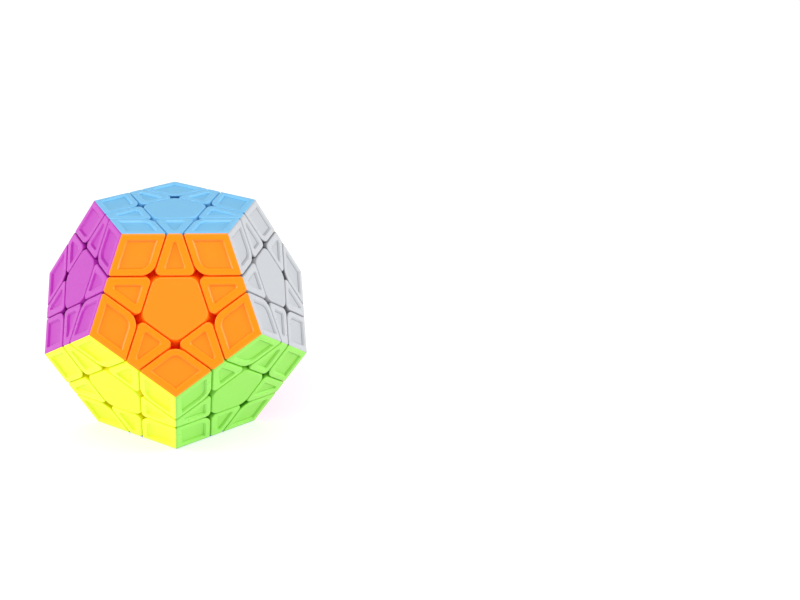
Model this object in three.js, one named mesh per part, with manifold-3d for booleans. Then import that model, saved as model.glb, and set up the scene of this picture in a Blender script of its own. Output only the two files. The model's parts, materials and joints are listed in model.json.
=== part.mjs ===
// A dodecahedral twisty puzzle that stands on one face: 12 centres, 30 two-colour edges and 20 three-colour
// corners round a core with twelve arms. Units are millimetres, +Z is up, and the origin is the centre of the
// face that the puzzle stands on. The orange face looks towards -Y, and a little upwards.
//
// Each face turns about its own axis through the middle of the puzzle. Its layer is what lies beyond a flat
// cut near the skin, inside a cone of half angle NECK_ANGLE below that, and inside a wider cone of half angle
// FOOT_ANGLE at the very bottom. A piece keeps inside the layers of its own faces and outside all the others:
//   block  the outer part with the tiles that can be seen
//   neck   the part between the block and the foot
//   foot   the wider end, which hooks a corner under its edges and an edge under its centres
// A screw holds each centre down on an arm of the core.

import * as THREE from "three";
import { mergeVertices } from "three/addons/utils/BufferGeometryUtils.js";
import Module from "manifold-3d";

const wasm = await Module();
wasm.setup();

// ---- driving dimensions ----------------------------------------------------------------------------------
const EDGE = 30.5; // side of each pentagonal face
const CUT = 22.7; // from the middle of the puzzle to the flat cuts
const GAP = 0.3; // between neighbouring pieces
const NECK_ANGLE = THREE.MathUtils.degToRad(43);
const FOOT_ANGLE = THREE.MathUtils.degToRad(49);

// Heights along a piece's own direction, from the middle of the puzzle.
const FOOT_BOTTOM = 17.7;
const FOOT_TOP = 20.1;
const SHOULDER = 21.7; // necks widen here, above the highest point that any foot reaches
const NECK_TOP = 31.2;

// Roundings of the upright edges where a centre, two edges and a corner meet, which open the small holes.
const CORNER_ROUND = 5.0;
const EDGE_ROUND = 1.5;
const CENTRE_ROUND = 3.3;
const ROUND_FACETS = 2;
const CORNER_NECK_BEVEL = THREE.MathUtils.degToRad(6.6);

// Sunk panels on the tiles of corners and edges: depth, and the rim left beside an outer side and a cut.
const PANEL_DEPTH = 0.35;
const PANEL_RIM_OUTER = 2.1;
const PANEL_RIM_CUT = 2.2;

// Centre stack along a face axis: cap, hub, screw and core.
const CAP_THICKNESS = 2.2;
const CUP_RADIUS = 4.4;
const CUP_FLOOR = 24.4;
const CAP_PLUG_LENGTH = 1.6;
const FLANGE_BOTTOM = 19;
const FLANGE_TILT = THREE.MathUtils.degToRad(17.4); // where the flange comes closest to the feet below it
const STALK_RADIUS = 3.8;
const STALK_FOOT = 17.2;
const BORE_RADIUS = 1.75;
const SHANK_RADIUS = 1.4;
const HEAD_RADIUS = 2.9;
const HEAD_SEAT = 27.2;
const HEAD_HEIGHT = 1.8;
const SCREW_TIP = 9.5;
const SLOT_WIDTH = 0.9;
const SLOT_LENGTH = 4.2;
const SLOT_DEPTH = 0.9;
const CORE_RADIUS = 12;
const ARM_RADIUS = 4.2;
const ARM_TOP = STALK_FOOT - GAP;
const ARM_BORE_FLOOR = 8.5;

const ROD_SIDES = 14;
const FAR = 60; // half the side of a block that stands for a half-space

// ---- the dodecahedron's faces ----------------------------------------------------------------------------
const FACE_ANGLE = Math.atan(2); // between the axes of neighbouring faces
const FACE_DISTANCE = (EDGE / 2) * Math.sqrt((25 + 11 * Math.sqrt(5)) / 10); // from the middle to each face
const HUB_TOP = FACE_DISTANCE - CAP_THICKNESS - GAP;

const UPPER_RING = ["orange", "grey", "cream", "green", "purple"]; // counterclockwise seen from above
const OPPOSITE = { sky: "navy", orange: "red", grey: "white", cream: "yellow", green: "lime", purple: "pink" };
const COLOURS = {
  orange: 0xff9a22,
  sky: 0x86c9f2,
  purple: 0xcf5fd6,
  grey: 0xd2d4da,
  yellow: 0xf8ff38,
  lime: 0x96ee62,
  red: 0xe8342e,
  navy: 0x2b57c4,
  cream: 0xf3e3b3,
  green: 0x1d9a4a,
  pink: 0xf7a6c8,
  white: 0xf6f7f8,
};
const TURNING_FACES = ["orange", "cream", "navy"]; // no two are neighbours, so each has pieces of its own
const FACE_ORDER = Object.keys(COLOURS);

function faceAxes() {
  const axes = { sky: new THREE.Vector3(0, 0, 1) };
  UPPER_RING.forEach((face, i) => {
    const turn = (i * 2 * Math.PI) / UPPER_RING.length;
    const level = Math.sin(FACE_ANGLE);
    axes[face] = new THREE.Vector3(Math.sin(turn) * level, -Math.cos(turn) * level, Math.cos(FACE_ANGLE));
  });
  for (const [face, across] of Object.entries(OPPOSITE)) axes[across] = axes[face].clone().negate();
  return axes;
}

const AXES = faceAxes();
const areNeighbours = (a, b) => a !== b && AXES[a].dot(AXES[b]) > 0;
const neighboursOf = (face) => FACE_ORDER.filter((other) => areNeighbours(face, other));
const directionOf = (faces) => faces.reduce((sum, face) => sum.add(AXES[face]), new THREE.Vector3()).normalize();

// The faces of each edge, in the order of FACE_ORDER, and of each corner, in turning order.
function edgeFaces() {
  return FACE_ORDER.flatMap((a, i) =>
    FACE_ORDER.slice(i + 1)
      .filter((b) => areNeighbours(a, b))
      .map((b) => [a, b]),
  );
}

function cornerFaces() {
  return edgeFaces().flatMap(([a, b]) =>
    FACE_ORDER.slice(FACE_ORDER.indexOf(b) + 1)
      .filter((c) => areNeighbours(a, c) && areNeighbours(b, c))
      .map((c) => (AXES[a].clone().cross(AXES[b]).dot(AXES[c]) > 0 ? [a, b, c] : [a, c, b])),
  );
}

// ---- solids ----------------------------------------------------------------------------------------------
function solidOf(geometry) {
  const bare = geometry.clone();
  bare.deleteAttribute("normal");
  bare.deleteAttribute("uv");
  const merged = mergeVertices(bare, 1e-4);
  return new wasm.Manifold(
    new wasm.Mesh({
      numProp: 3,
      vertProperties: new Float32Array(merged.attributes.position.array),
      triVerts: new Uint32Array(merged.index.array),
    }),
  );
}

function geometryOf(solid) {
  const mesh = solid.getMesh();
  const geometry = new THREE.BufferGeometry();
  geometry.setAttribute("position", new THREE.BufferAttribute(new Float32Array(mesh.vertProperties), 3));
  geometry.setIndex(new THREE.BufferAttribute(new Uint32Array(mesh.triVerts), 1));
  geometry.computeVertexNormals();
  return geometry;
}

const union = (...solids) => solids.reduce((whole, solid) => whole.add(solid));
const cutFrom = (solid, cutters) => cutters.reduce((rest, cutter) => rest.subtract(cutter), solid);

// Turns a geometry made along +Z so that it lies along an axis.
function alongAxis(geometry, axis) {
  return geometry.applyQuaternion(new THREE.Quaternion().setFromUnitVectors(new THREE.Vector3(0, 0, 1), axis));
}

function rod(face, radius, low, high) {
  const cylinder = new THREE.CylinderGeometry(radius, radius, high - low, ROD_SIDES)
    .rotateX(Math.PI / 2)
    .translate(0, 0, (low + high) / 2);
  return solidOf(alongAxis(cylinder, AXES[face]));
}

// A side is a plane { normal, offset }, and the solid lies where normal . point is at most offset.
const below = (direction, distance) => ({ normal: direction.clone(), offset: distance });
const above = (direction, distance) => ({ normal: direction.clone().negate(), offset: -distance });
const underFace = (face) => below(AXES[face], FACE_DISTANCE);
const insideCut = (face) => above(AXES[face], CUT + GAP / 2);
const besideCut = (face) => below(AXES[face], CUT - GAP / 2);

function halfSpace({ normal, offset }) {
  const block = new THREE.BoxGeometry(2 * FAR, 2 * FAR, 2 * FAR).translate(0, 0, offset - FAR);
  return solidOf(alongAxis(block, normal));
}

const withSides = (sides) => sides.map(halfSpace).reduce((solid, half) => solid.intersect(half));

// Planes that round off the angle between two sides.
function roundingSides(a, b, radius) {
  const across = a.normal.dot(b.normal);
  const share = 1 / (1 - across * across);
  const fromA = a.offset - radius;
  const fromB = b.offset - radius;
  const centre = new THREE.Vector3()
    .addScaledVector(a.normal, (fromA - across * fromB) * share)
    .addScaledVector(b.normal, (fromB - across * fromA) * share);
  return Array.from({ length: ROUND_FACETS }, (_, i) => {
    const t = (i + 1) / (ROUND_FACETS + 1);
    const normal = new THREE.Vector3()
      .addScaledVector(a.normal, Math.sin((1 - t) * Math.acos(across)))
      .addScaledVector(b.normal, Math.sin(t * Math.acos(across)))
      .normalize();
    return below(normal, normal.dot(centre) + radius);
  });
}

// A plane through the middle of the puzzle at an angle from a face's axis, square to the way to `direction`.
function coneSide(face, direction, angle, keepInside) {
  const axis = AXES[face];
  const level = direction.clone().addScaledVector(axis, -direction.dot(axis)).normalize();
  const normal = level.multiplyScalar(Math.cos(angle)).addScaledVector(axis, -Math.sin(angle));
  return keepInside ? below(normal, -GAP / 2) : above(normal, GAP / 2);
}

// The angle of the flat side of a piece that spans an arc of its own layer's cone, `span` to each side.
const chordAngle = (angle, span) => Math.atan(Math.tan(angle) * Math.cos(span));
// How far round a face's axis its cone runs from a neighbour's direction to that neighbour's own cone.
const crossing = (angle) => Math.acos(Math.tan(FACE_ANGLE / 2) / Math.tan(angle));

// ---- pieces ----------------------------------------------------------------------------------------------
const onFace = (width) => width * Math.sin(FACE_ANGLE); // a width on one face, along the next face's axis

function panel(face, sides, roundings) {
  const ends = [above(AXES[face], FACE_DISTANCE - PANEL_DEPTH), below(AXES[face], FACE_DISTANCE + 1)];
  return withSides([...ends, ...sides, ...roundings]);
}

function cornerPanel(face, beside) {
  const outer = beside.map((other) => below(AXES[other], FACE_DISTANCE - onFace(PANEL_RIM_OUTER)));
  const inner = beside.map((other) => above(AXES[other], CUT + GAP / 2 + onFace(PANEL_RIM_CUT)));
  return panel(face, [...outer, ...inner], roundingSides(...inner, CORNER_ROUND - PANEL_RIM_CUT));
}

function cornerPiece(faces) {
  const direction = directionOf(faces);
  const cuts = faces.map(insideCut);
  const roundings = cuts.flatMap((cut, i) => roundingSides(cut, cuts[(i + 1) % cuts.length], CORNER_ROUND));
  const block = withSides([...faces.map(underFace), ...cuts, ...roundings]);

  const own = (angle) => {
    const flat = chordAngle(angle, crossing(angle) - Math.PI / 5);
    return faces.map((face) => coneSide(face, direction, flat, true));
  };
  const bevels = faces.map((face) => {
    const ridge = directionOf(faces.filter((other) => other !== face));
    const level = ridge.addScaledVector(direction, -ridge.dot(direction)).normalize();
    const slope = level.multiplyScalar(Math.cos(CORNER_NECK_BEVEL));
    return below(slope.addScaledVector(direction, -Math.sin(CORNER_NECK_BEVEL)), 0);
  });
  const bottom = above(direction, FOOT_BOTTOM);
  const neck = withSides([bottom, below(direction, NECK_TOP), ...own(NECK_ANGLE), ...bevels]);
  const foot = withSides([bottom, below(direction, FOOT_TOP), ...own(FOOT_ANGLE)]);

  const panels = faces.map((face) => cornerPanel(face, faces.filter((other) => other !== face)));
  return cutFrom(union(block, neck, foot), panels);
}

function edgePanel(face, other, ends) {
  const base = above(AXES[other], CUT + GAP / 2 + onFace(PANEL_RIM_CUT));
  const flanks = ends.map((end) => below(AXES[end], CUT - GAP / 2 - onFace(PANEL_RIM_CUT)));
  return panel(face, [base, ...flanks], []);
}

function edgePiece([a, b]) {
  const direction = directionOf([a, b]);
  const ends = neighboursOf(a).filter((face) => areNeighbours(face, b));
  const cuts = [insideCut(a), insideCut(b)];
  const flanks = ends.map(besideCut);
  const own = (angle) => {
    const flat = chordAngle(angle, (2 * Math.PI) / 5 - crossing(angle));
    return [a, b].map((face) => coneSide(face, direction, flat, true));
  };
  const clear = (angle) => ends.map((face) => coneSide(face, direction, angle, false));

  const roundings = cuts.flatMap((cut) => flanks.flatMap((flank) => roundingSides(cut, flank, EDGE_ROUND)));
  const block = withSides([underFace(a), underFace(b), ...cuts, ...flanks, ...clear(NECK_ANGLE), ...roundings]);
  const bottom = above(direction, FOOT_BOTTOM);
  const top = below(direction, NECK_TOP);
  const neckSides = [...own(NECK_ANGLE), ...flanks, top];
  const neck = withSides([above(direction, SHOULDER), ...neckSides, ...clear(NECK_ANGLE)]);
  const stem = withSides([bottom, ...neckSides, ...clear(FOOT_ANGLE)]);
  const foot = withSides([bottom, below(direction, FOOT_TOP), ...own(FOOT_ANGLE), ...clear(FOOT_ANGLE)]);

  return cutFrom(union(block, neck, stem, foot), [edgePanel(a, b, ends), edgePanel(b, a, ends)]);
}

// The pentagonal block of a centre, between two heights on its axis.
function centreBlock(face, low, high) {
  const around = neighboursOf(face).map(besideCut);
  const roundings = around.flatMap((side, i) =>
    around
      .slice(i + 1)
      .filter((next) => side.normal.dot(next.normal) > 0)
      .flatMap((next) => roundingSides(side, next, CENTRE_ROUND)),
  );
  return withSides([above(AXES[face], low), below(AXES[face], high), ...around, ...roundings]);
}

// A centre without its bores. Its flange reaches out over the feet of its five edges.
function flangedBlock(face, top) {
  const axis = AXES[face];
  const neighbours = neighboursOf(face);
  const clear = neighbours.map((other) => halfSpace(coneSide(other, axis, NECK_ANGLE, false)));
  const roof = neighbours.map((other) => {
    const level = AXES[other].clone().addScaledVector(axis, -AXES[other].dot(axis)).normalize();
    const normal = level.multiplyScalar(Math.sin(FLANGE_TILT)).addScaledVector(axis, Math.cos(FLANGE_TILT));
    return below(normal, SHOULDER);
  });
  const block = clear.reduce((solid, half) => solid.intersect(half), centreBlock(face, FLANGE_BOTTOM, top));
  return block.subtract(withSides(roof));
}

function hubPiece(face) {
  const cup = rod(face, CUP_RADIUS, HEAD_SEAT, FACE_DISTANCE);
  const well = rod(face, BORE_RADIUS, SCREW_TIP, FACE_DISTANCE);
  const body = flangedBlock(face, HUB_TOP).add(rod(face, STALK_RADIUS, STALK_FOOT, CUP_FLOOR));
  return cutFrom(body, [cup, well]);
}

function capPiece(face) {
  const underside = FACE_DISTANCE - CAP_THICKNESS;
  const plug = rod(face, CUP_RADIUS - GAP, underside - CAP_PLUG_LENGTH, underside + CAP_THICKNESS / 2);
  return centreBlock(face, underside, FACE_DISTANCE).add(plug);
}

function screwPiece(face) {
  const headTop = HEAD_SEAT + GAP + HEAD_HEIGHT;
  const shank = rod(face, SHANK_RADIUS, SCREW_TIP, headTop - HEAD_HEIGHT / 2);
  const head = rod(face, HEAD_RADIUS, HEAD_SEAT + GAP, headTop);
  const slot = (width, length) => {
    const box = new THREE.BoxGeometry(width, length, 2 * SLOT_DEPTH).translate(0, 0, headTop);
    return solidOf(alongAxis(box, AXES[face]));
  };
  return cutFrom(union(shank, head), [slot(SLOT_WIDTH, SLOT_LENGTH), slot(SLOT_LENGTH, SLOT_WIDTH)]);
}

// The core has an arm for every face. A centre that doesn't turn here is one with its arm.
function corePiece() {
  const fixed = FACE_ORDER.filter((face) => !TURNING_FACES.includes(face));
  const arms = TURNING_FACES.map((face) => rod(face, ARM_RADIUS, 0, ARM_TOP));
  const columns = fixed.map((face) =>
    union(flangedBlock(face, FACE_DISTANCE), rod(face, STALK_RADIUS, 0, CUP_FLOOR)),
  );
  const bores = TURNING_FACES.map((face) => rod(face, BORE_RADIUS, ARM_BORE_FLOOR, ARM_TOP + 1));
  const ball = solidOf(new THREE.IcosahedronGeometry(CORE_RADIUS, 1));
  return cutFrom(union(ball, ...arms, ...columns), bores);
}

// ---- the assembly ----------------------------------------------------------------------------------------
const plastics = Object.fromEntries(
  FACE_ORDER.map((face) => {
    const material = new THREE.MeshStandardMaterial({ color: COLOURS[face], roughness: 0.45, metalness: 0 });
    material.name = `${face}_plastic`;
    return [face, material];
  }),
);
const steel = new THREE.MeshStandardMaterial({ color: 0xb9bcc2, roughness: 0.3, metalness: 1 });
steel.name = "screw_steel";
const corePlastic = new THREE.MeshStandardMaterial({ color: 0xe9e9e6, roughness: 0.5, metalness: 0 });
corePlastic.name = "core_plastic";

const puzzle = new THREE.Group();
puzzle.position.z = FACE_DISTANCE;
const layers = Object.fromEntries(TURNING_FACES.map((face) => [face, new THREE.Group()]));
Object.values(layers).forEach((layer) => puzzle.add(layer));

function named(name, geometry, material) {
  const mesh = new THREE.Mesh(geometry, material);
  mesh.name = name;
  return mesh;
}

// A right-handed frame whose first axis is the axis of the first face of a piece.
function frameOf([first, second]) {
  const x = AXES[first];
  const z = x.clone().cross(AXES[second]).normalize();
  return new THREE.Matrix4().makeBasis(x, z.clone().cross(x), z);
}

// Makes the first piece of a kind, and turns copies of it to the places of the others.
function placeAll(kind, places, makePiece) {
  const geometry = geometryOf(makePiece(places[0]));
  const back = frameOf(places[0]).transpose();
  for (const faces of places) {
    const mesh = named(`${kind}_${faces.join("_")}`, geometry, plastics[faces[0]]);
    mesh.quaternion.setFromRotationMatrix(frameOf(faces).multiply(back));
    const turning = faces.find((face) => TURNING_FACES.includes(face));
    (turning ? layers[turning] : puzzle).add(mesh);
  }
}

placeAll("corner", cornerFaces(), cornerPiece);
placeAll("edge", edgeFaces(), edgePiece);
for (const face of TURNING_FACES) {
  layers[face].add(named(`hub_${face}`, geometryOf(hubPiece(face)), plastics[face]));
  layers[face].add(named(`cap_${face}`, geometryOf(capPiece(face)), plastics[face]));
  puzzle.add(named(`screw_${face}`, geometryOf(screwPiece(face)), steel));
}
puzzle.add(named("core_with_fixed_centres", geometryOf(corePiece()), corePlastic));

export default puzzle;
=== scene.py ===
"""Looks of the dodecahedron twisty puzzle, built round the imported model.

Each coloured shell, cap, hub, screw, spring and washer is a piece of its own, and so is the core. Solids are
worked out in millimetres round the middle of the puzzle, once for each kind of piece, in a local frame whose
+Z is the axis of a face and whose +X side faces one of its neighbours. They are then turned to every place.
"""

import json
import math

import bmesh
import bpy
from mathutils import Matrix, Vector


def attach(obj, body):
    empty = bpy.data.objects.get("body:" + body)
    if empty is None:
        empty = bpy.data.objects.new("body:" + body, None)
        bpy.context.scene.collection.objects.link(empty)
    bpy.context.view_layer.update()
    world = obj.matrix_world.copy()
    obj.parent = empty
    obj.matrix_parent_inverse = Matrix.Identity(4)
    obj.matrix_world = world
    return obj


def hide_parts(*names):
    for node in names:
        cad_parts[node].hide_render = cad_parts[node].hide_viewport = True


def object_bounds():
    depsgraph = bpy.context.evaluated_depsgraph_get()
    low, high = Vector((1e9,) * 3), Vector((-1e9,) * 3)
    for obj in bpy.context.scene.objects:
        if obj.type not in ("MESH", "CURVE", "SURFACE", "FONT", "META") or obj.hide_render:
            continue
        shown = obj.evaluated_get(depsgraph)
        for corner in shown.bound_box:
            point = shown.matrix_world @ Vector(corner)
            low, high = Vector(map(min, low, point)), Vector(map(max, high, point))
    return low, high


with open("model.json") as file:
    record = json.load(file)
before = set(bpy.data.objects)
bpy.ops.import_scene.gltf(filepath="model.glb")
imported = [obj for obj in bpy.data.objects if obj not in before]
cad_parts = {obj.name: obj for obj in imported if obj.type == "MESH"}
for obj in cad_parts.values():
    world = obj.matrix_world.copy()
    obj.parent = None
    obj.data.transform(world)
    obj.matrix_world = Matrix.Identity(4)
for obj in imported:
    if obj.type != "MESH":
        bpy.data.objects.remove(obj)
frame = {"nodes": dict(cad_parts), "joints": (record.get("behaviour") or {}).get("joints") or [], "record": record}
cad_low, cad_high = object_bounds()

# ---- driving dimensions, in millimetres ----------------------------------------------------------
MM = 0.001
FACE_ANGLE = math.atan(2)  # between the axes of neighbouring faces
FIFTH = 2 * math.pi / 5
FACE_DISTANCE = (cad_high - cad_low).z / MM / 2  # from the middle of the puzzle to each face
CUT = FACE_DISTANCE * 0.6684  # from the middle to the flat cuts between layers
GAP = 0.3  # between neighbouring pieces
SEAM = 0.02  # between the coloured shells of one piece

CUT_FILLET = 0.38  # on the tile edges beside a cut
OUTER_FILLET = 1.3  # on the edges of the dodecahedron
CORNER_ROUND = 5.0  # of the tile corners round each small hole
EDGE_ROUND = 1.5
CORNER_TAPER = 0.62  # radius for each millimetre above the tile's lowest point
CENTRE_ROUND = 3.3
LIP_DEPTH = 1.3  # of the centre tile's full outline, above its undercut corners
UNDERCUT = 1.6  # growth of the corner radius for each millimetre below the lip
END_ROUND = 0.6  # where a cut reaches an edge of the dodecahedron
VERTEX_ROUND = 0.3

PANEL_DEPTH = 0.58
PANEL_SLOPE = math.radians(46)  # of the wall round a sunk panel
PANEL_SHOULDER = 0.12  # radius where the wall meets the rim
PANEL_FOOT = 0.08  # radius where the wall meets the floor
CREASE_START = 0.6  # share of the wall that lies above its foot, where painted shade starts
PANEL_RIM_OUTER = 1.8
PANEL_RIM_CUT = 1.85
PANEL_CORNER_ROUND = 3.6
PANEL_SHARP_ROUND = 0.35
PANEL_EDGE_ROUND = 0.9

NECK_ANGLE = math.radians(43)  # of the cones between layers, below the flat cuts
FOOT_ANGLE = math.radians(49)
CORNER_STEM_ANGLE = math.radians(7)
NECK_TOP = CUT / math.cos(NECK_ANGLE)
FOOT_TOP = 21.5
FOOT_BOTTOM = 17.5

CAP_THICKNESS = 2.2
HUB_BOTTOM = 19.0
CUP_RADIUS = 4.4
CUP_FLOOR = 24.6
BORE_RADIUS = 1.75
STALK_RADIUS = 3.8
STALK_FOOT = 17.2
SHANK_RADIUS = 1.4
HEAD_RADIUS = 3.0
HEAD_SEAT = 28.4
HEAD_HEIGHT = 1.7
SLOT_WIDTH = 0.8
SLOT_LENGTH = 3.8
SLOT_DEPTH = 0.9
SCREW_TIP = 9.5
WASHER_RADIUS = 3.7
WASHER_THICKNESS = 0.4
SPRING_RADIUS = 2.7
SPRING_WIRE = 0.3
SPRING_TURNS = 4
CORE_RADIUS = 12.0
ARM_RADIUS = 4.2
ARM_TOP = STALK_FOOT - GAP
ARM_BORE_FLOOR = 8.5

SCREW_PITCH = 0.7
THREAD_DEPTH = 0.3

FAR = 60.0  # half the side of a block that stands for a half-space
CONE_STEPS = 96
ROD_STEPS = 48
ARC_STEPS = 4  # of the shoulder and foot of a panel's wall
CORNER_STEPS = [3, 4, 12, 4]  # of the four corners of a corner piece's tile
EDGE_STEPS = [4, 8, 8, 4]
CENTRE_STEPS = [10] * 5
WALL_RINGS = 6  # of a tile's wall below its rounded top edges
RIM_STRIP = 0.03  # flat strips beside the rounded edges, which keep their shading off the flat faces
LEAST_ROUND = 0.04
LEAST_STEP = 0.006  # between the outlines that draw a rounded edge
END_DEPTH = 2.0  # where the rounded ends of a cut have faded
CORNER_BLOCK_RISE = 0.9  # of a tile's block above the flat cut under it
EDGE_BLOCK_RISE = 0.7

# ---- faces ---------------------------------------------------------------------------------------
UPPER_RING = ["orange", "grey", "cream", "green", "purple"]  # counterclockwise seen from above
OPPOSITE = {
    "sky": "navy",
    "orange": "red",
    "grey": "white",
    "cream": "yellow",
    "green": "lime",
    "purple": "pink",
}


def face_axes():
    front = next(Vector(j["axis"]) for j in frame["joints"] if j["name"].startswith("orange"))
    axes = {"sky": Vector((0, 0, 1))}
    for i, face in enumerate(UPPER_RING):
        axes[face] = Matrix.Rotation(i * FIFTH, 3, "Z") @ front.normalized()
    for face, across in OPPOSITE.items():
        axes[across] = -axes[face]
    return axes


AXES = face_axes()
MIDDLE = Vector(((cad_low.x + cad_high.x) / 2, 0, cad_low.z)) + Vector((0, 0, FACE_DISTANCE * MM))


def neighbour(face):
    """One face beside this one."""
    return next(other for other in AXES if 0 < AXES[face].dot(AXES[other]) < 0.9)


def place_matrix(face, beside):
    """From the local frame, in millimetres, to the row frame, in metres."""
    z = AXES[face]
    x = (AXES[beside] - z * AXES[beside].dot(z)).normalized()
    turn = Matrix((x, z.cross(x), z)).transposed().to_4x4()
    return Matrix.Translation(MIDDLE) @ turn @ Matrix.Scale(MM, 4)


def around(step):
    """The axis of a neighbouring face in the local frame, counted counterclockwise from +X."""
    level = math.sin(FACE_ANGLE)
    return Vector((level * math.cos(step * FIFTH), level * math.sin(step * FIFTH), math.cos(FACE_ANGLE)))


OWN = Vector((0, 0, 1))

# ---- solids --------------------------------------------------------------------------------------


def mesh_of(points, faces):
    mesh = bpy.data.meshes.new("work")
    mesh.from_pydata([tuple(p) for p in points], [], faces)
    mesh.validate()
    return mesh


def stacked(rings):
    """A closed mesh through rings of equally many points, topmost first, each counterclockwise from above."""
    count = len(rings[0])
    points = [p for ring in rings for p in ring]
    faces = [tuple(range(count))]
    for i in range(len(rings) - 1):
        for k in range(count):
            upper, lower, after = i * count, (i + 1) * count, (k + 1) % count
            faces.append((upper + k, lower + k, lower + after, upper + after))
    last = (len(rings) - 1) * count
    faces.append(tuple(reversed(range(last, last + count))))
    return mesh_of(points, faces)


def turned(profile, axis=OWN, steps=CONE_STEPS):
    """A solid of revolution about an axis through the middle.

    profile is [(radius, height)], top first, and its two ends lie on the axis.
    """
    inner = profile[1:-1]
    points = [Vector((0, 0, profile[0][1])), Vector((0, 0, profile[-1][1]))]
    faces = []
    for radius, height in inner:
        for k in range(steps):
            angle = 2 * math.pi * k / steps
            points.append(Vector((radius * math.cos(angle), radius * math.sin(angle), height)))
    for k in range(steps):
        after = (k + 1) % steps
        faces.append((0, 2 + k, 2 + after))
        for i in range(len(inner) - 1):
            upper, lower = 2 + i * steps, 2 + (i + 1) * steps
            faces.append((upper + k, lower + k, lower + after, upper + after))
        last = 2 + (len(inner) - 1) * steps
        faces.append((last + k, 1, last + after))
    mesh = mesh_of(points, faces)
    mesh.transform(OWN.rotation_difference(axis).to_matrix().to_4x4())
    return mesh


def rod(radius, low, high, steps=ROD_STEPS):
    return turned([(0, high), (radius, high), (radius, low), (0, low)], steps=steps)


def ball(radius):
    """A fine ball round the middle of the puzzle."""
    angles = [math.pi * i / ROD_STEPS for i in range(ROD_STEPS + 1)]
    return turned([(radius * math.sin(angle), radius * math.cos(angle)) for angle in angles])


def half_space(normal, offset):
    """The block of all points whose distance along normal is at most offset."""
    work = bmesh.new()
    bmesh.ops.create_cube(work, size=2 * FAR)
    bmesh.ops.translate(work, verts=work.verts, vec=(0, 0, offset - FAR))
    mesh = bpy.data.meshes.new("work")
    work.to_mesh(mesh)
    work.free()
    mesh.transform(OWN.rotation_difference(normal.normalized()).to_matrix().to_4x4())
    return mesh


def boolean(first, second, operation):
    """first joined with, cut by or limited to second. Both meshes are used up."""
    base = bpy.data.objects.new("base", first)
    tool = bpy.data.objects.new("tool", second)
    for part in (base, tool):
        bpy.context.scene.collection.objects.link(part)
    modifier = base.modifiers.new("boolean", "BOOLEAN")
    modifier.operation = operation
    modifier.solver = "MANIFOLD"
    modifier.object = tool
    seen = base.evaluated_get(bpy.context.evaluated_depsgraph_get())
    made = bpy.data.meshes.new_from_object(seen)
    for part in (base, tool):
        bpy.data.objects.remove(part)
    for mesh in (first, second):
        bpy.data.meshes.remove(mesh)
    return made


def union(*meshes):
    whole = meshes[0]
    for mesh in meshes[1:]:
        whole = boolean(whole, mesh, "UNION")
    return whole


def cut(mesh, *tools):
    for tool in tools:
        mesh = boolean(mesh, tool, "DIFFERENCE")
    return mesh


def limited(mesh, *tools):
    for tool in tools:
        mesh = boolean(mesh, tool, "INTERSECT")
    return mesh


def layer_inside(axis, outwards):
    """The part of a face's layer below the flat cuts: a narrow cone, and a wider one below FOOT_TOP.

    Its wall is moved by half a gap, inwards where it bounds a piece of the layer, and outwards where it is
    cut from a piece beside it.
    """
    shift = GAP / 2 if outwards else -GAP / 2
    rows = 5

    def on_wall(angle, distance):
        along = Vector((math.sin(angle), math.cos(angle)))
        across = Vector((math.cos(angle), -math.sin(angle)))
        return tuple(along * distance + across * shift)

    rim = on_wall(NECK_ANGLE, FAR)
    ceiling = [
        on_wall(NECK_ANGLE + (FOOT_ANGLE - NECK_ANGLE) * i / rows, FOOT_TOP + shift) for i in range(rows + 1)
    ]
    return turned([(0, rim[1]), rim, *ceiling, (0, -shift / math.sin(FOOT_ANGLE))], axis)


# ---- tiles ---------------------------------------------------------------------------------------
# A tile is a stack of outlines parallel to its face. Each side has a direction from the axis of the face and
# a reach, which says how far from the axis it lies at a depth below the face.


def beside_cut(step):
    """The side of a tile that stops at the layer of a neighbouring face."""
    start = (CUT - GAP / 2 - FACE_DISTANCE * math.cos(FACE_ANGLE)) / math.sin(FACE_ANGLE)
    return {"angle": step * FIFTH, "start": start, "lean": FACE_ANGLE, "rim": PANEL_RIM_CUT}


def inside_cut(step):
    """The side of a tile within the layer of a neighbouring face, which looks away from that face."""
    start = -(CUT + GAP / 2 - FACE_DISTANCE * math.cos(FACE_ANGLE)) / math.sin(FACE_ANGLE)
    angle = step * FIFTH + math.pi
    return {"angle": angle, "start": start, "lean": math.pi - FACE_ANGLE, "rim": PANEL_RIM_CUT}


def outer_side(step):
    """The side of a tile along an edge of the dodecahedron, where another colour starts."""
    start = FACE_DISTANCE * math.tan(FACE_ANGLE / 2)
    return {"angle": step * FIFTH, "start": start, "lean": None, "rim": PANEL_RIM_OUTER}


def straight_reach(side, depth):
    if side["lean"] is None:
        return side["start"] - depth * math.tan(FACE_ANGLE / 2) - SEAM / 2
    return side["start"] + depth / math.tan(side["lean"])


def reach(side, depth):
    """The side's reach with its rounded top edge."""
    if side["lean"] is None:
        fillet = OUTER_FILLET
        centre = (FACE_DISTANCE - fillet) * math.tan(FACE_ANGLE / 2)
        end = fillet * (1 - math.cos(FACE_ANGLE / 2))
    else:
        fillet = CUT_FILLET
        centre = side["start"] + fillet / math.tan(side["lean"]) - fillet / math.sin(side["lean"])
        end = fillet * (1 - math.cos(side["lean"]))
    if depth >= end:
        return straight_reach(side, depth)
    return min(centre + math.sqrt(fillet**2 - (fillet - depth) ** 2), straight_reach(side, depth) + fillet)


def meeting(a, reach_a, b, reach_b):
    """Where two lines meet, each square to a direction and at a reach from the origin."""
    turn = math.sin(b - a)
    x = (reach_a * math.sin(b) - reach_b * math.sin(a)) / turn
    y = (reach_b * math.cos(a) - reach_a * math.cos(b)) / turn
    return Vector((x, y))


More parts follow.
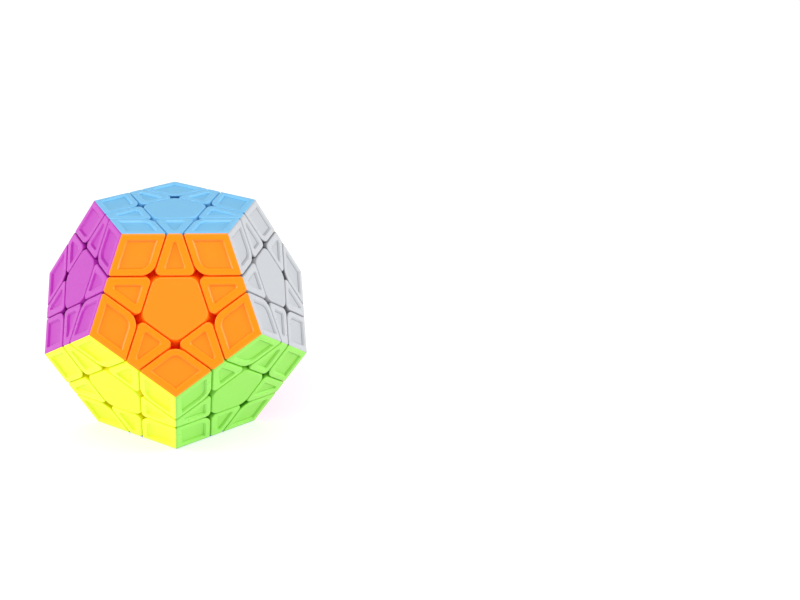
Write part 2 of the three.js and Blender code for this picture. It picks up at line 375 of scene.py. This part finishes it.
def outline(sides, reaches, rounds, steps, height):
    """A closed outline of straight sides with rounded corners. Corner i lies between side i and the next."""
    points = []
    for i, side in enumerate(sides):
        a = side["angle"]
        turn = (sides[(i + 1) % len(sides)]["angle"] - a) % (2 * math.pi)
        radius = rounds[i]
        centre = meeting(a, reaches[i] - radius, a + turn, reaches[(i + 1) % len(sides)] - radius)
        for k in range(steps[i] + 1):
            way = a + turn * k / steps[i]
            x = centre.x + radius * math.cos(way)
            y = centre.y + radius * math.sin(way)
            points.append(Vector((x, y, height)))
    return points


def panel_wall():
    """The wall of a sunk panel from rim to floor, as (inset, depth) steps.

    It has a rounded shoulder, a slope with an extra ring where the painted shade of its crease starts, and a
    rounded foot.
    """
    level, rise = math.cos(PANEL_SLOPE), math.sin(PANEL_SLOPE)
    arcs_depth = (PANEL_SHOULDER + PANEL_FOOT) * (1 - level)
    slope = (PANEL_DEPTH - arcs_depth) / rise
    width = (PANEL_SHOULDER + PANEL_FOOT) * rise + slope * level
    turns = [PANEL_SLOPE * i / ARC_STEPS for i in range(ARC_STEPS + 1)]
    shoulder = [(PANEL_SHOULDER * math.sin(t), PANEL_SHOULDER * (1 - math.cos(t))) for t in turns]
    foot = [(width - PANEL_FOOT * math.sin(t), PANEL_DEPTH - PANEL_FOOT * (1 - math.cos(t))) for t in turns]
    crease_start = [high + (low - high) * CREASE_START for high, low in zip(shoulder[-1], foot[-1])]
    return [*shoulder, crease_start, *foot[::-1]]


def fillet_depths():
    """Depths of the outlines that draw the rounded top edges, closest where the curve turns fastest."""
    wanted = [0.0]
    for radius, end, count in (
        (OUTER_FILLET, FACE_ANGLE / 2, 3),
        (CUT_FILLET, FACE_ANGLE, 4),
        (CUT_FILLET, math.pi - FACE_ANGLE, 7),
    ):
        wanted += [radius * (1 - math.cos(end * (i + 1) / count)) for i in range(count)]
    kept = []
    for depth in sorted(wanted):
        if not kept or depth - kept[-1] > LEAST_STEP:
            kept.append(depth)
    return kept + [kept[-1] + 0.05]


def tile(sides, rounds, steps, low, panel_rounds=None, apex=None):
    """A tile and the block under it down to height low. rounds holds a function of depth for each corner."""
    top = FACE_DISTANCE
    rings = []
    if panel_rounds:
        rims = [straight_reach(side, 0) - side["rim"] for side in sides]
        if apex is not None:
            rims[apex] = apex_reach(sides, rims, panel_rounds[apex], apex)
        for inset, depth in reversed(panel_wall()):
            reaches = [rim - inset for rim in rims]
            radii = [max(radius - inset, LEAST_ROUND) for radius in panel_rounds]
            rings.append(outline(sides, reaches, radii, steps, top - depth))
        reaches = [rim + RIM_STRIP for rim in rims]
        rings.append(outline(sides, reaches, [radius + RIM_STRIP for radius in panel_rounds], steps, top))
    reaches = [reach(side, 0) - RIM_STRIP for side in sides]
    rings.append(outline(sides, reaches, corner_radii(sides, rounds, 0, RIM_STRIP), steps, top))
    depths = fillet_depths()
    depths += [depths[-1] + (top - low - depths[-1]) * (i + 1) / WALL_RINGS for i in range(WALL_RINGS)]
    for depth in depths:
        reaches = [reach(side, depth) for side in sides]
        rings.append(outline(sides, reaches, corner_radii(sides, rounds, depth, 0), steps, top - depth))
    return stacked(rings)


def apex_reach(sides, rims, radius, apex):
    """The reach of a short side so that it touches a circle drawn in the angle between its two neighbours."""
    before, after = sides[apex - 1], sides[(apex + 1) % len(sides)]
    centre = meeting(
        before["angle"], rims[apex - 1] - radius, after["angle"], rims[(apex + 1) % len(sides)] - radius
    )
    angle = sides[apex]["angle"]
    return centre.x * math.cos(angle) + centre.y * math.sin(angle) + radius


def corner_radii(sides, rounds, depth, extra):
    """Corner radii at a depth, less what the rounded top edges take off."""
    radii = []
    for i, side in enumerate(sides):
        pair = (side, sides[(i + 1) % len(sides)])
        inset = sum(straight_reach(one, depth) - reach(one, depth) for one in pair) / 2
        radii.append(max(rounds[i](depth) - inset - extra, LEAST_ROUND))
    return radii


def fading(radius, depth_to_go):
    """A corner radius that shrinks with depth."""
    return lambda depth: max(radius * (1 - depth / depth_to_go), 0.05)


def constant(radius):
    return lambda depth: radius


def undercut(radius, start, growth):
    """A corner radius that grows below a depth, so that the tile ends in a thin lip there."""
    return lambda depth: radius + growth * max(depth - start, 0)


def tapering(radius, apex_depth, share):
    """A corner radius that is held, and then shrinks with the tile towards its apex."""
    return lambda depth: min(radius, share * (apex_depth - depth))


# ---- kinds of pieces -----------------------------------------------------------------------------


def corner_third():
    """The part of a corner piece in one colour: its tile, and its share of the neck and foot."""
    one, two = around(0), around(1)
    low = CUT + GAP / 2 + CORNER_BLOCK_RISE
    sides = [outer_side(0), outer_side(1), inside_cut(0), inside_cut(1)]
    apex_depth = FACE_DISTANCE - CUT
    rounds = [
        constant(VERTEX_ROUND),
        fading(END_ROUND, END_DEPTH),
        tapering(CORNER_ROUND, apex_depth, CORNER_TAPER),
        fading(END_ROUND, END_DEPTH),
    ]
    panel_rounds = [PANEL_SHARP_ROUND, PANEL_SHARP_ROUND, PANEL_CORNER_ROUND, PANEL_SHARP_ROUND]
    block = tile(sides, rounds, CORNER_STEPS, low, panel_rounds)
    direction = (OWN + one + two).normalized()
    layers = limited(layer_inside(OWN, False), layer_inside(one, False), layer_inside(two, False))
    stem_radius = (NECK_TOP + 1) * math.tan(CORNER_STEM_ANGLE)
    stem = turned([(0, NECK_TOP + 1), (stem_radius, NECK_TOP + 1), (0.01, 0.01), (0, 0)], direction)
    neck = limited(layers.copy(), stem, ball(NECK_TOP))
    foot = limited(layers, ball(FOOT_TOP - GAP / 2))
    inner = cut(union(neck, foot), ball(FOOT_BOTTOM + GAP / 2))
    inner = limited(inner, half_space(one - OWN, -SEAM / 2), half_space(two - OWN, -SEAM / 2))
    return union(block, inner)


def edge_half():
    """The part of an edge piece in one colour."""
    beyond = around(0)
    ends = (around(1), around(-1))
    low = CUT + GAP / 2 + EDGE_BLOCK_RISE
    sides = [outer_side(0), beside_cut(1), inside_cut(0), beside_cut(4)]
    end = fading(END_ROUND, END_DEPTH)
    rounds = [end, constant(EDGE_ROUND), constant(EDGE_ROUND), end]
    block = tile(sides, rounds, EDGE_STEPS, low, [PANEL_EDGE_ROUND] * 4, apex=0)
    inner = limited(layer_inside(OWN, False), layer_inside(beyond, False), ball(NECK_TOP))
    inner = limited(inner, half_space(beyond - OWN, -SEAM / 2))
    whole = union(block, inner)
    return cut(whole, *[layer_inside(end, True) for end in ends], ball(FOOT_BOTTOM + GAP / 2))


def centre_sides():
    return [beside_cut(step) for step in range(5)]


def centre_cap():
    """The plain pentagonal tile of a centre, with a round plug that presses into the hub."""
    low = FACE_DISTANCE - CAP_THICKNESS
    rounds = [undercut(CENTRE_ROUND, LIP_DEPTH, UNDERCUT)] * 5
    plate = tile(centre_sides(), rounds, CENTRE_STEPS, low)
    return union(plate, rod(CUP_RADIUS - 0.1, low - 1.2, low + 1))


def centre_hub():
    """The part of a centre under its cap: a cup for screw and spring, and a flange over its edges' feet."""
    high = FACE_DISTANCE - CAP_THICKNESS - 0.05
    sides = centre_sides()
    round_below = undercut(CENTRE_ROUND, LIP_DEPTH, UNDERCUT)(CAP_THICKNESS)
    rings = []
    for height in (high, HUB_BOTTOM):
        reaches = [straight_reach(side, FACE_DISTANCE - height) for side in sides]
        rings.append(outline(sides, reaches, [round_below] * 5, CENTRE_STEPS, height))
    layers_beside = [layer_inside(around(step), True) for step in range(5)]
    body = cut(stacked(rings), *layers_beside, ball(FOOT_TOP + GAP / 2))
    body = union(body, rod(STALK_RADIUS, STALK_FOOT, CUP_FLOOR - 1))
    return cut(body, rod(CUP_RADIUS, CUP_FLOOR, FACE_DISTANCE), rod(BORE_RADIUS, SCREW_TIP, FACE_DISTANCE))


def screw():
    """A pan-head screw with a cross recess and a threaded end."""
    top = HEAD_SEAT + HEAD_HEIGHT
    head = [
        (0, top),
        (HEAD_RADIUS * 0.72, top),
        (HEAD_RADIUS * 0.92, top - 0.3),
        (HEAD_RADIUS, top - 0.75),
        (HEAD_RADIUS, HEAD_SEAT + 0.1),
        (HEAD_RADIUS - 0.1, HEAD_SEAT),
        (0, HEAD_SEAT),
    ]
    shank = rod(SHANK_RADIUS - 0.15, SCREW_TIP + 1, HEAD_SEAT + 0.5)
    root = SHANK_RADIUS - THREAD_DEPTH
    thread = [(0, ARM_TOP), (root, ARM_TOP)]
    height = ARM_TOP - THREAD_DEPTH
    while height > SCREW_TIP + 1.2:
        thread += [(SHANK_RADIUS, height), (root, height - SCREW_PITCH / 2)]
        height -= SCREW_PITCH
    thread += [(0.3, SCREW_TIP), (0, SCREW_TIP)]
    whole = union(turned(head, steps=ROD_STEPS), shank, turned(thread, steps=ROD_STEPS))
    return cut(whole, slot_box(SLOT_WIDTH, SLOT_LENGTH, top), slot_box(SLOT_LENGTH, SLOT_WIDTH, top))


def slot_box(width, length, top):
    work = bmesh.new()
    bmesh.ops.create_cube(work, size=1)
    bmesh.ops.scale(work, verts=work.verts, vec=(width, length, 2 * SLOT_DEPTH))
    bmesh.ops.translate(work, verts=work.verts, vec=(0, 0, top))
    mesh = bpy.data.meshes.new("work")
    work.to_mesh(mesh)
    work.free()
    return mesh


def washer():
    low, high = HEAD_SEAT - WASHER_THICKNESS - 0.05, HEAD_SEAT - 0.05
    return cut(rod(WASHER_RADIUS, low, high), rod(BORE_RADIUS, low - 1, high + 1))


def spring():
    """A compression spring between the washer and the floor of the cup, its wire swept along a helix."""
    low = CUP_FLOOR + SPRING_WIRE + 0.05
    high = HEAD_SEAT - WASHER_THICKNESS - SPRING_WIRE - 0.1
    steps, sides = 24 * SPRING_TURNS, 10
    rings = []
    for i in range(steps + 1):
        share = i / steps
        angle = -2 * math.pi * SPRING_TURNS * share
        rise = high + (low - high) * share
        outward = Vector((math.cos(angle), math.sin(angle), 0))
        middle = outward * SPRING_RADIUS + Vector((0, 0, rise))
        rings.append([
            middle + SPRING_WIRE * (outward * math.cos(way) + OWN * math.sin(way))
            for way in (-2 * math.pi * k / sides for k in range(sides))
        ])
    return stacked(rings)


def core():
    """The core with an arm and a screw bore for every face, in the row frame's directions."""
    whole = ball(CORE_RADIUS)
    arm = [(0, ARM_TOP), (ARM_RADIUS - 0.3, ARM_TOP), (ARM_RADIUS, ARM_TOP - 0.3), (ARM_RADIUS, 1), (0, 1)]
    for axis in AXES.values():
        whole = union(whole, turned(arm, axis, ROD_STEPS))
    for axis in AXES.values():
        bore = [(0, FAR), (BORE_RADIUS, FAR), (BORE_RADIUS, ARM_BORE_FLOOR), (0, ARM_BORE_FLOOR)]
        whole = cut(whole, turned(bore, axis, ROD_STEPS))
    return whole


# Painted shade: a darker tone put on the walls of the gaps and at the foot of each panel's wall, where shade
# falls.
CREASE = 0.8  # share of painted shade at the foot of a panel's wall
CREASE_TOP = PANEL_DEPTH * 0.8
DEEP = 1.3  # below the face, where a gap's walls reach the full painted shade and the full added roughness
WALL_NORMAL = 0.55  # upward part of the normal: less on the walls of the gaps, more on a panel's walls
NEAR = 0.001


def marked(mesh, frosted_height):
    """Marks for the material, as a value at each vertex.

    frost is on the flat faces at a height; inside grows down the walls of the gaps and carries painted shade
    there, with more roughness and less gloss; and crease, painted shade too, is at the foot of a panel's wall.
    """
    frost = [0.0] * len(mesh.vertices)
    for face in mesh.polygons:
        if face.normal.z > 0.999 and abs(face.center.z - frosted_height) < NEAR:
            for i in face.vertices:
                frost[i] = 1.0
    inside = []
    crease = []
    for vertex in mesh.vertices:
        depth = FACE_DISTANCE - vertex.co.z
        on_wall = vertex.normal.z < WALL_NORMAL and depth > CUT_FILLET / 2
        inside.append(min(depth / DEEP, 1) if on_wall else 0.0)
        on_foot = not on_wall and CREASE_TOP < depth < PANEL_DEPTH - NEAR
        crease.append(CREASE if on_foot else 0.0)
    for name, values in {"frost": frost, "inside": inside, "crease": crease}.items():
        mesh.attributes.new(name, "FLOAT", "POINT").data.foreach_set("value", values)
    return mesh


# ---- materials -----------------------------------------------------------------------------------
# Each colour's tone on the outside, and the painted shade of its gaps and creases: a second tone that stands for
# the dark of a narrow gap, and isn't a property of the plastic.
COLOURS = {
    "orange": ((1.0, 0.265, 0.004), (1.0, 0.14, 0.002)),
    "sky": ((0.20, 0.53, 0.82), (0.1, 0.37, 0.7)),
    "purple": ((0.43, 0.026, 0.405), (0.3, 0.01, 0.28)),
    "grey": ((0.41, 0.424, 0.447), (0.17, 0.178, 0.19)),
    "yellow": ((0.77, 0.92, 0.011), (0.96, 0.82, 0.008)),
    "lime": ((0.265, 0.69, 0.074), (0.14, 0.5, 0.02)),
    "red": ((0.66, 0.02, 0.018), (0.5, 0.008, 0.007)),
    "navy": ((0.016, 0.06, 0.42), (0.009, 0.035, 0.3)),
    "cream": ((0.76, 0.64, 0.36), (0.6, 0.46, 0.2)),
    "green": ((0.01, 0.25, 0.05), (0.005, 0.17, 0.025)),
    "pink": ((0.76, 0.25, 0.42), (0.66, 0.15, 0.3)),
    "white": ((0.72, 0.72, 0.72), (0.52, 0.52, 0.52)),
}


WHITE_PLASTIC = (0.78, 0.78, 0.76)
SCREW_METAL = (0.56, 0.57, 0.58)
SPRING_METAL = (0.42, 0.43, 0.45)

# Noise scales are features in a metre. Noise mostly lies between NOISE_LOW and NOISE_HIGH.
NOISE_LOW = 0.3
NOISE_HIGH = 0.7
CLOUD_SCALE = 260
GRAIN_SCALE = 2600
GRAIN_DETAIL = 4
SMOOTH_SHADES = (0.99, 1.01)  # shades of the rims and walls, as factors of the colour
FROSTED_SHADES = (0.93, 0.98)
GLOSS_SCALE = 900
ROUGHNESS = (0.27, 0.34)
PLAIN_ROUGHNESS = 0.32  # for a viewer that doesn't follow the nodes
FROST_ROUGHNESS = 0.12  # added on frosted faces
INSIDE_ROUGHNESS = 0.4  # added inside the gaps
SPECULAR = 0.36
INSIDE_SPECULAR = 0.1  # inside the gaps, chosen with the painted shade
INSIDE_FULL = 0.2  # of the mark inside, from which INSIDE_SPECULAR holds
FROST_SCALE = 3400
RIM_FROST = 0.25  # share of the frost's bump that the smooth faces keep
FROST_BUMP = (0.00003, 0.4)  # distance in metres, strength
WAVE_SCALE = 320
WAVE_BUMP = (0.00006, 0.12)
STEEL_GLOSS_SCALE = 1500
STEEL_SPREAD = (-0.06, 0.08)  # of the roughness
STEEL_SCRATCH_SCALE = 4000
STEEL_BUMP = (0.00001, 0.3)


def new_material(name, colour, roughness, metallic=0.0):
    material = bpy.data.materials.new(name)
    material.use_nodes = True
    material.diffuse_color = (*colour, 1)
    shader = material.node_tree.nodes["Principled BSDF"]
    shader.inputs["Base Color"].default_value = (*colour, 1)
    shader.inputs["Roughness"].default_value = roughness
    shader.inputs["Metallic"].default_value = metallic
    return material, material.node_tree, shader


def noise(tree, scale, detail=3.0):
    """Noise in the piece's own coordinates."""
    coordinates = tree.nodes.new("ShaderNodeTexCoord")
    texture = tree.nodes.new("ShaderNodeTexNoise")
    texture.inputs["Scale"].default_value = scale
    texture.inputs["Detail"].default_value = detail
    tree.links.new(coordinates.outputs["Object"], texture.inputs["Vector"])
    return texture.outputs["Fac"]


def remap(tree, value, low, high, start=NOISE_LOW, end=NOISE_HIGH):
    node = tree.nodes.new("ShaderNodeMapRange")
    node.inputs["From Min"].default_value = start
    node.inputs["From Max"].default_value = end
    node.inputs["To Min"].default_value = low
    node.inputs["To Max"].default_value = high
    tree.links.new(value, node.inputs["Value"])
    return node.outputs["Result"]


def bumped(tree, shader, layers):
    """Adds bump layers, each (height output, distance in metres, strength), to the shader."""
    normal = None
    for height, distance, strength in layers:
        node = tree.nodes.new("ShaderNodeBump")
        node.inputs["Distance"].default_value = distance
        node.inputs["Strength"].default_value = strength
        tree.links.new(height, node.inputs["Height"])
        if normal:
            tree.links.new(normal, node.inputs["Normal"])
        normal = node.outputs["Normal"]
    tree.links.new(normal, shader.inputs["Normal"])


def mixed_colours(tree, first, second, value):
    """first where value is 0 and second where it is 1. Each is a colour or a colour output."""
    mix = tree.nodes.new("ShaderNodeMix")
    mix.data_type = "RGBA"
    factor, socket_a, socket_b = mix.inputs[0], mix.inputs[6], mix.inputs[7]  # those of a colour mix
    tree.links.new(value, factor)
    for socket, colour in ((socket_a, first), (socket_b, second)):
        if isinstance(colour, tuple):
            socket.default_value = (*colour, 1)
        else:
            tree.links.new(colour, socket)
    colour_output = mix.outputs[2]
    return colour_output


def math_node(tree, operation, first, second):
    node = tree.nodes.new("ShaderNodeMath")
    node.operation = operation
    for socket, value in zip(node.inputs, (first, second)):
        if isinstance(value, float):
            socket.default_value = value
        else:
            tree.links.new(value, socket)
    return node.outputs[0]


def attribute(tree, name):
    node = tree.nodes.new("ShaderNodeAttribute")
    node.attribute_name = name
    return node.outputs["Fac"]


def shaded(colour, factor):
    return tuple(min(c * factor, 1) for c in colour)


def moulded_plastic(name, colour, painted_shade_colour):
    """Satin plastic: smooth rims, grained frosted faces, and painted shade in the gaps and creases."""
    material, tree, shader = new_material(name, colour, PLAIN_ROUGHNESS)
    frost, inside, crease = (attribute(tree, mark) for mark in ("frost", "inside", "crease"))

    cloud = noise(tree, CLOUD_SCALE)
    smooth = mixed_colours(tree, *(shaded(colour, shade) for shade in SMOOTH_SHADES), cloud)
    grain = noise(tree, GRAIN_SCALE, GRAIN_DETAIL)
    grained = mixed_colours(tree, *(shaded(colour, shade) for shade in FROSTED_SHADES), grain)
    outside = mixed_colours(tree, smooth, grained, frost)
    # painted shade: the second tone mixed in down the walls of the gaps and at the foot of the panels' walls
    depth = math_node(tree, "MAXIMUM", inside, crease)
    tree.links.new(mixed_colours(tree, outside, painted_shade_colour, depth), shader.inputs["Base Color"])

    specular = remap(tree, inside, SPECULAR, INSIDE_SPECULAR, 0, INSIDE_FULL)
    tree.links.new(specular, shader.inputs["Specular IOR Level"])
    roughness = remap(tree, noise(tree, GLOSS_SCALE), *ROUGHNESS)
    for mark, added in ((frost, FROST_ROUGHNESS), (inside, INSIDE_ROUGHNESS)):
        roughness = math_node(tree, "ADD", roughness, math_node(tree, "MULTIPLY", mark, added))
    tree.links.new(roughness, shader.inputs["Roughness"])

    bumpy = math_node(tree, "ADD", frost, RIM_FROST)
    frosting = math_node(tree, "MULTIPLY", noise(tree, FROST_SCALE), bumpy)
    bumped(tree, shader, [(frosting, *FROST_BUMP), (noise(tree, WAVE_SCALE), *WAVE_BUMP)])
    return material


def plated_steel(name, colour, roughness):
    material, tree, shader = new_material(name, colour, roughness, 1.0)
    low, high = (roughness + change for change in STEEL_SPREAD)
    gloss = remap(tree, noise(tree, STEEL_GLOSS_SCALE), low, high)
    tree.links.new(gloss, shader.inputs["Roughness"])
    bumped(tree, shader, [(noise(tree, STEEL_SCRATCH_SCALE, 2), *STEEL_BUMP)])
    return material


plastics = {face: moulded_plastic(f"{face}_plastic", *colours) for face, colours in COLOURS.items()}
core_plastic = moulded_plastic("core_plastic", WHITE_PLASTIC, WHITE_PLASTIC)
screw_steel = plated_steel("screw_steel", SCREW_METAL, 0.3)
spring_steel = plated_steel("spring_steel", SPRING_METAL, 0.24)

# ---- pieces --------------------------------------------------------------------------------------
SHARP_ANGLE = math.radians(28)
bodies = frame["record"]["behaviour"]["bodies"]
body_of_node = {node: body for body, members in bodies.items() for node in members}
kinds = {
    "corner": marked(corner_third(), FACE_DISTANCE - PANEL_DEPTH),
    "edge": marked(edge_half(), FACE_DISTANCE - PANEL_DEPTH),
    "cap": marked(centre_cap(), FACE_DISTANCE),
    "hub": centre_hub(),
    "screw": screw(),
    "washer": washer(),
    "spring": spring(),
    "core": core(),
}


def piece(name, kind, matrix, material, node):
    """A turned copy of a kind of piece, riding on the body of the CAD node that it stands for."""
    mesh = kinds[kind].copy()
    mesh.name = name
    mesh.transform(matrix)
    mesh.shade_smooth()
    mesh.set_sharp_from_angle(angle=SHARP_ANGLE)
    mesh.materials.clear()
    mesh.materials.append(material)
    made = bpy.data.objects.new(name, mesh)
    bpy.context.scene.collection.objects.link(made)
    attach(made, body_of_node[node])
    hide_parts(node)


def coloured(kind, node, word):
    """The coloured parts of a corner or edge node, whose name lists its faces in turning order."""
    faces = node.split("_")[1:]
    for i, face in enumerate(faces):
        beside = faces[(i + 1) % len(faces)]
        matrix = place_matrix(face, beside)
        piece(f"{node}.{face}_{word}", kind, matrix, plastics[face], node)


CORE_NODE = "core_with_fixed_centres"
nodes = sorted(frame["nodes"])
for node in nodes:
    if node.startswith("corner_"):
        coloured("corner", node, "third")
    if node.startswith("edge_"):
        coloured("edge", node, "half")

for face in AXES:
    turning = f"hub_{face}" in nodes
    matrix = place_matrix(face, neighbour(face))
    hub_node, cap_node, screw_node = (
        [f"{part}_{face}" for part in ("hub", "cap", "screw")] if turning else [CORE_NODE] * 3
    )
    plastic = plastics[face]
    piece(f"centre_cap_{face}", "cap", matrix, plastic, cap_node)
    piece(f"centre_hub_{face}", "hub", matrix, plastic, hub_node)
    piece(f"centre_screw_{face}", "screw", matrix, screw_steel, screw_node)
    piece(f"centre_washer_{face}", "washer", matrix, screw_steel, screw_node)
    piece(f"centre_spring_{face}", "spring", matrix, spring_steel, screw_node)

core_matrix = Matrix.Translation(MIDDLE) @ Matrix.Scale(MM, 4)
piece("core_spider", "core", core_matrix, core_plastic, CORE_NODE)

# ---- stage, light and camera ---------------------------------------------------------------------
FLOOR_RADIUS = 3.0  # metres, of the flat part of the floor
SWEEP = 1.2  # radius of the upturned edge
SWEEP_ANGLE = math.radians(80)
GLOW_START = 0.12  # distance from the puzzle where the floor starts to glow more
GLOW_END = 0.55
NEAR_GLOW = 0.55  # radiance
FAR_GLOW = 0.85
FLOOR_GREY = (0.55, 0.55, 0.55)
FLOOR_ROUGHNESS = 0.9
SWEEP_STEPS = 12
WORLD_STRENGTH = 0.16
BOUNCES = 32  # enough for light to colour the narrow gaps
SENSOR_WIDTH = 36
LENS = 62.045
CAMERA_SHIFT = (0.28058, 0.01514)
CAMERA_DISTANCE = 426.25 * MM
CAMERA_AZIMUTH = math.radians(0.146)
CAMERA_ELEVATION = math.radians(23.858)
CAMERA_ROLL = math.radians(-0.414)


def towards(azimuth, elevation):
    """The direction at an azimuth, counted from the front, and an elevation."""
    level = math.cos(elevation)
    return Vector((math.sin(azimuth) * level, -math.cos(azimuth) * level, math.sin(elevation)))


def softbox(name, azimuth, elevation, distance, width, height, radiance):
    """A soft rectangular light that looks at the middle of the puzzle. Angles are in degrees."""
    back = towards(math.radians(azimuth), math.radians(elevation))
    data = bpy.data.lights.new(name, "AREA")
    data.shape = "RECTANGLE"
    data.size = width
    data.size_y = height
    data.energy = radiance * math.pi * width * height
    light = bpy.data.objects.new(name, data)
    bpy.context.scene.collection.objects.link(light)
    light.location = MIDDLE + back * distance
    light.rotation_euler = (-back).to_track_quat("-Z", "Y").to_euler()


def floor_mesh():
    """A round floor that turns up far away."""
    angles = [SWEEP_ANGLE * i / SWEEP_STEPS for i in range(SWEEP_STEPS + 1)]
    profile = [(FLOOR_RADIUS + SWEEP * math.sin(a), SWEEP * (1 - math.cos(a))) for a in angles]
    ways = [2 * math.pi * k / CONE_STEPS for k in range(CONE_STEPS)]
    points = []
    for radius, height in profile:
        points += [(radius * math.cos(way), radius * math.sin(way), height) for way in ways]
    faces = [tuple(range(CONE_STEPS))]
    for i in range(SWEEP_STEPS):
        for k in range(CONE_STEPS):
            after = (k + 1) % CONE_STEPS
            inner, outer = i * CONE_STEPS, (i + 1) * CONE_STEPS
            faces.append((inner + k, outer + k, outer + after, inner + after))
    mesh = mesh_of(points, faces)
    mesh.shade_smooth()
    return mesh


def white_floor():
    """The floor. It glows, more so far from the puzzle, to stay white where the softboxes don't reach."""
    mesh = floor_mesh()
    floor = bpy.data.objects.new("floor", mesh)
    bpy.context.scene.collection.objects.link(floor)
    floor.location.z = cad_low.z
    material, tree, shader = new_material("floor_white", FLOOR_GREY, FLOOR_ROUGHNESS)
    coordinates = tree.nodes.new("ShaderNodeTexCoord")
    distance = tree.nodes.new("ShaderNodeVectorMath")
    distance.operation = "LENGTH"
    tree.links.new(coordinates.outputs["Object"], distance.inputs[0])
    glow = tree.nodes.new("ShaderNodeMapRange")
    glow.interpolation_type = "SMOOTHSTEP"
    glow.inputs["From Min"].default_value = GLOW_START
    glow.inputs["From Max"].default_value = GLOW_END
    glow.inputs["To Min"].default_value = NEAR_GLOW
    glow.inputs["To Max"].default_value = FAR_GLOW
    tree.links.new(distance.outputs["Value"], glow.inputs["Value"])
    tree.links.new(glow.outputs["Result"], shader.inputs["Emission Strength"])
    shader.inputs["Emission Color"].default_value = (1, 1, 1, 1)
    mesh.materials.append(material)


def white_world(strength):
    world = bpy.data.worlds.new("studio")
    world.use_nodes = True
    background = world.node_tree.nodes["Background"]
    background.inputs["Color"].default_value = (1, 1, 1, 1)
    background.inputs["Strength"].default_value = strength
    bpy.context.scene.world = world


def photo_camera():
    data = bpy.data.cameras.new("camera")
    data.sensor_width = SENSOR_WIDTH
    data.lens = LENS
    data.shift_x, data.shift_y = CAMERA_SHIFT
    camera = bpy.data.objects.new("camera", data)
    bpy.context.scene.collection.objects.link(camera)
    back = towards(CAMERA_AZIMUTH, CAMERA_ELEVATION)
    camera.location = MIDDLE + back * CAMERA_DISTANCE
    look = (-back).to_track_quat("-Z", "Y")
    camera.rotation_euler = (look.to_matrix() @ Matrix.Rotation(CAMERA_ROLL, 3, "Z")).to_euler()
    bpy.context.scene.camera = camera


bpy.context.scene.view_settings.view_transform = "Standard"
bpy.context.scene.cycles.max_bounces = BOUNCES
bpy.context.scene.cycles.diffuse_bounces = BOUNCES
bpy.context.scene.cycles.glossy_bounces = BOUNCES
white_floor()
white_world(WORLD_STRENGTH)
softbox("left_strip", azimuth=-82, elevation=22, distance=0.8, width=0.42, height=0.7, radiance=5.5)
softbox("right_strip", azimuth=82, elevation=22, distance=0.8, width=0.42, height=0.7, radiance=5.5)
softbox("front_top_box", azimuth=0, elevation=68, distance=0.9, width=0.9, height=0.5, radiance=3.3)
photo_camera()
